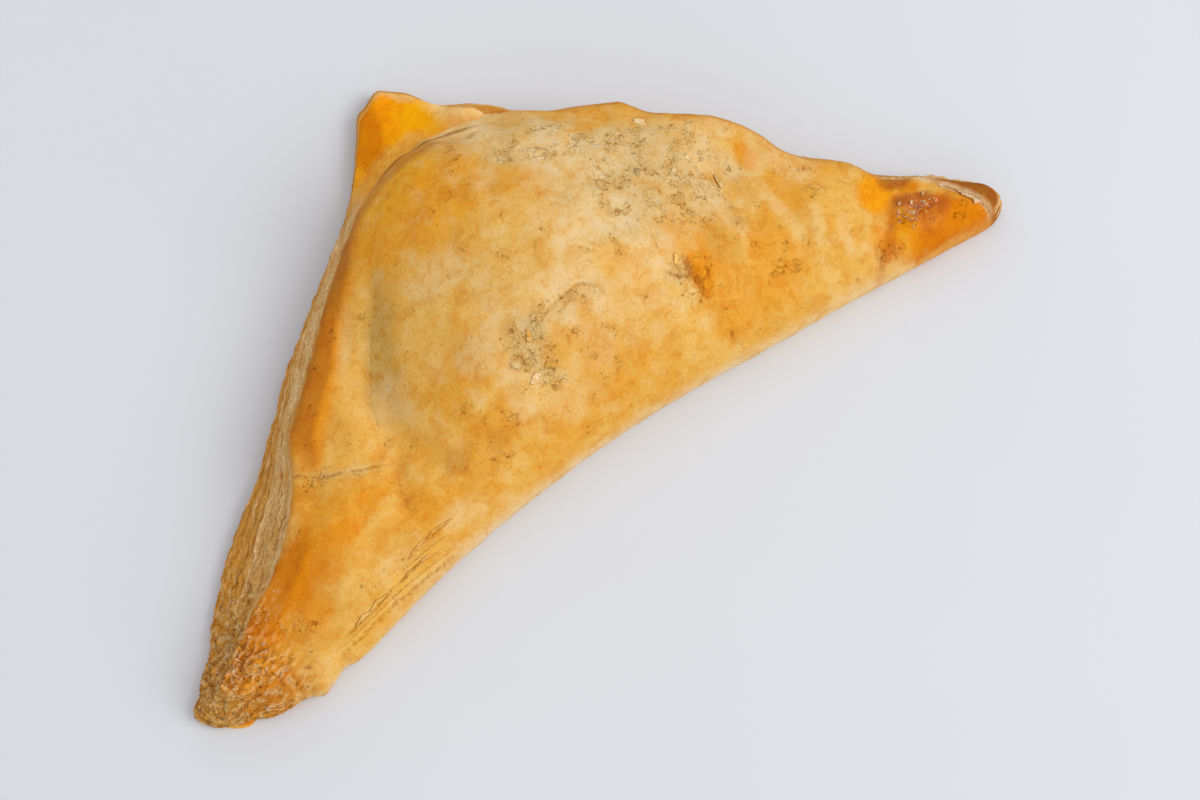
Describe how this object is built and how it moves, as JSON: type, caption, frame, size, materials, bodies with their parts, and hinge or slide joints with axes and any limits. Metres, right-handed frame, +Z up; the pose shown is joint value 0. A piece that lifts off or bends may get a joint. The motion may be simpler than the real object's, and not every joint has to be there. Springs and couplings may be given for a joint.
{
  "type": "potato puff pastry",
  "caption": "Baked triangular turnover of folded puff pastry over a filling mound, with flaky cut edges, a bared corner of dough and a flat base to rest on.",
  "frame": {"origin": "middle of the pastry's box, on the surface that it lies on", "axes": "+Z up, +X along the folded edge towards the dark browned tip, +Y from the folded edge towards the bared right-angled corner"},
  "size_m": [0.188, 0.0958, 0.033],
  "materials": {
    "crust": "egg-washed baked crust: golden, mottled with cream and brown, softly glossy where it is browned"
  },
  "bodies": {
    "root": {"pastry": "crust"}
  },
  "joints": []
}
